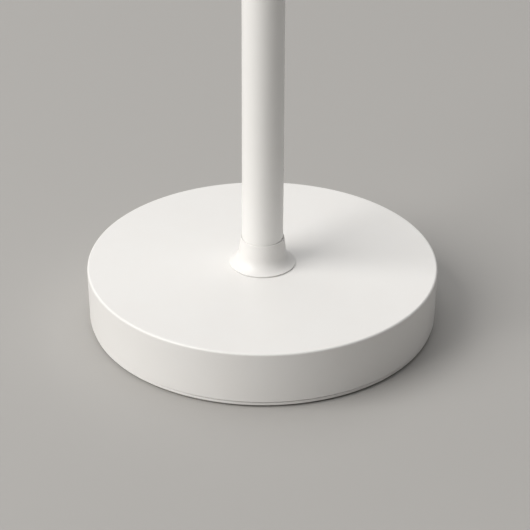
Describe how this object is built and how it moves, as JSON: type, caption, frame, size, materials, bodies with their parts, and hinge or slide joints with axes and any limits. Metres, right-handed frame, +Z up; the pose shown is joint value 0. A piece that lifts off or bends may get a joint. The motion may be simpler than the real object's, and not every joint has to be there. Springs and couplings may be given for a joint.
{
  "type": "customer pole display",
  "caption": "Customer display for a checkout: a wide white head with a dark window tilts and swivels on a slim round pole in a flared collar on a round weighted base.",
  "frame": {"origin": "middle of the underside, on the surface that the rubber feet rest on", "axes": "+Z up along the pole; the display faces -Y; the sockets and the power button are at the back of the base, facing +Y; +X is to the right of someone who reads the display"},
  "size_m": [0.206, 0.19, 0.4421],
  "materials": {
    "white_shell": "satin moulded ABS, fine matt texture",
    "white_paint": "satin white powder coat",
    "grey_plastic": "fine matt texture",
    "acetal": "smooth natural acetal",
    "rubber": "matt black",
    "steel": "bright zinc plate",
    "cast_iron": "rough cast, dark primer",
    "circuit_board": "green solder mask on glass-fibre board",
    "smoked_window": "polished smoked acrylic",
    "display_glass": "polished dark glass of a vacuum fluorescent tube",
    "foam": "closed-cell foam",
    "cable_sheath": "soft PVC sheath"
  },
  "bodies": {
    "base": {"base_shell": "white_shell", "bottom_plate": "white_paint", "foot_pad_1": "rubber", "foot_pad_2": "rubber", "foot_pad_3": "rubber", "foot_pad_4": "rubber", "base_screw_1": "steel", "base_screw_2": "steel", "base_screw_3": "steel", "ballast_weight": "cast_iron", "socket_board": "circuit_board", "board_screw_1": "steel", "board_screw_2": "steel", "port_panel": "grey_plastic", "serial_jack": "grey_plastic", "power_jack": "grey_plastic", "switch_body": "grey_plastic", "collar": "white_shell", "pole_tube": "white_paint", "pole_spigot": "steel", "pole_grub_screw": "steel", "pole_lock_washer": "steel", "pole_nut": "steel", "swivel_post": "steel", "thrust_washer": "acetal", "wave_washer": "steel", "stop_washer": "steel", "ring_nut": "steel", "pole_lead": "cable_sheath"},
    "neck": {"swivel_bush": "acetal", "neck_sleeve": "white_paint", "tilt_knuckle": "white_paint", "neck_grub_screw": "steel", "neck_lead": "cable_sheath"},
    "head": {"friction_washer_left": "acetal", "friction_washer_right": "acetal", "disc_spring": "steel", "tilt_bolt": "steel", "tilt_nut": "steel", "front_bezel": "white_shell", "rear_cover": "white_shell", "hinge_housing": "white_shell", "case_screw_1": "steel", "case_screw_2": "steel", "case_screw_3": "steel", "case_screw_4": "steel", "module_screw_1": "steel", "module_screw_2": "steel", "controller_screw_1": "steel", "controller_screw_2": "steel", "display_window": "smoked_window", "window_gasket": "foam", "display_glass": "display_glass", "module_tray": "steel", "module_board": "circuit_board", "controller_board": "circuit_board", "ribbon_cable": "acetal", "lead_plug": "acetal", "head_lead": "cable_sheath"},
    "button": {"power_button": "acetal"}
  },
  "joints": [
    {"name": "head_swivel", "type": "hinge", "parent": "base", "child": "neck", "pos_m": [0, 0, 0.341], "axis": [0, 0, 1], "range_deg": [-160, 160]},
    {"name": "head_tilt", "type": "hinge", "parent": "neck", "child": "head", "pos_m": [0, 0, 0.3841], "axis": [-1, 0, 0], "range_deg": [-10, 45]},
    {"name": "power_button_press", "type": "slide", "parent": "base", "child": "button", "axis": [0, -1, 0], "range_m": [0, 0.0015], "stiffness_N_per_m": 900, "springref_m": -0.0006}
  ]
}
